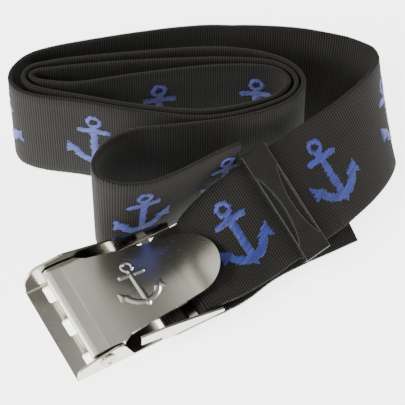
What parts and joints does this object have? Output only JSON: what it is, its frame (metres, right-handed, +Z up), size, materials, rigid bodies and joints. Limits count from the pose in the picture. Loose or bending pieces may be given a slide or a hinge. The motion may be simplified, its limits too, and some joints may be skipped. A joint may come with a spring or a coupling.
{
  "type": "dive weight belt",
  "caption": "Rolled dive weight belt: ribbed webbing strip on edge, stamped cam buckle with a hinged toothed lever on a headed pin, and a sliding keeper loop.",
  "frame": {"origin": "on the floor under the middle of the rolled belt's bounding box", "axes": "+X along the long side of the roll, +Y from the buckle's side to the roll, +Z up"},
  "size_m": [0.1812, 0.1722, 0.0506],
  "materials": {
    "webbing": "matte ribbed weave",
    "frame_steel": "brushed",
    "lever_steel": "polished and brushed",
    "pin_steel": "bright",
    "keeper_plastic": "gloss"
  },
  "bodies": {
    "belt": {"webbing_end_tab": "webbing", "webbing_buckle_wrap": "webbing", "webbing_run": "webbing", "webbing_bend": "webbing", "webbing_back_layer": "webbing", "webbing_outer_left_turn": "webbing", "webbing_front_third": "webbing", "webbing_middle_right_turn": "webbing", "webbing_back_third": "webbing", "webbing_inner_left_turn": "webbing", "webbing_back_fourth": "webbing", "webbing_inner_right_turn": "webbing", "webbing_front_fourth": "webbing", "webbing_middle_left_turn": "webbing", "webbing_back_second": "webbing", "webbing_outer_right_turn": "webbing", "webbing_front_layer": "webbing", "webbing_fold": "webbing", "webbing_free_end": "webbing", "buckle_frame": "frame_steel", "pivot_pin": "pin_steel"},
    "lever": {"cam_lever": "lever_steel"},
    "keeper": {"keeper": "keeper_plastic"}
  },
  "joints": [
    {"name": "lever_pivot", "type": "hinge", "parent": "belt", "child": "lever", "pos_m": [-0.05444, -0.05431, 0.00772], "axis": [0.4648, -0.8854, 0], "range_deg": [0, 65]},
    {"name": "keeper_slide", "type": "slide", "parent": "belt", "child": "keeper", "axis": [0.7714, 0.6325, 0.069], "range_m": [-0.002, 0.006]}
  ]
}
